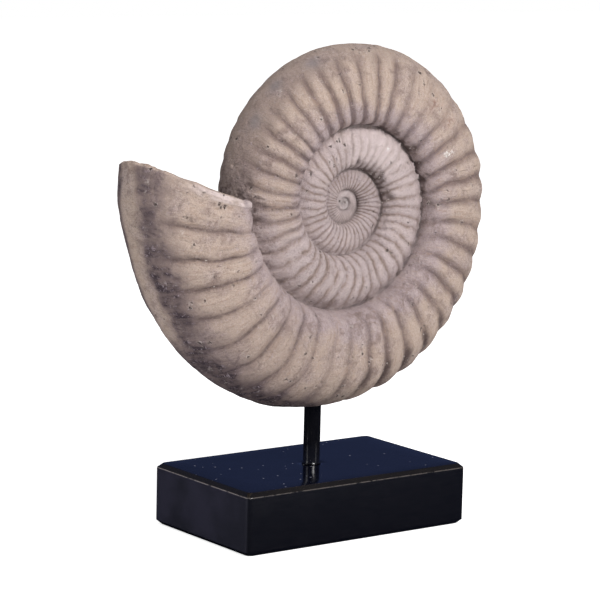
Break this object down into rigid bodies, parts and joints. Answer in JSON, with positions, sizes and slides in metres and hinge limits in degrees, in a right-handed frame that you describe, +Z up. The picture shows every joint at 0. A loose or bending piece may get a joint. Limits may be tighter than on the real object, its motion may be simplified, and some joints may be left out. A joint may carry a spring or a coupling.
{
  "type": "ammonite shell sculpture on a stand",
  "caption": "Ribbed spiral ammonite shell, cast in one piece with a hollow mouth, standing upright on a short round rod in a rectangular painted wooden block.",
  "frame": {"origin": "centre of the block's underside", "axes": "+Z up, +X along the block's long side away from the shell's mouth, +Y across the block; the shell is coiled in the plane y = 0"},
  "size_m": [0.2977, 0.115, 0.3405],
  "materials": {
    "black_wood": "painted black, satin sides and a glossier top, worn along the chamfers",
    "black_steel": "gloss black paint",
    "cast_stone": "matt, beige on the ribs and brown-grey in the grooves, with a rubbed-in patina"
  },
  "bodies": {
    "root": {"block": "black_wood", "rod": "black_steel", "shell": "cast_stone"}
  },
  "joints": []
}
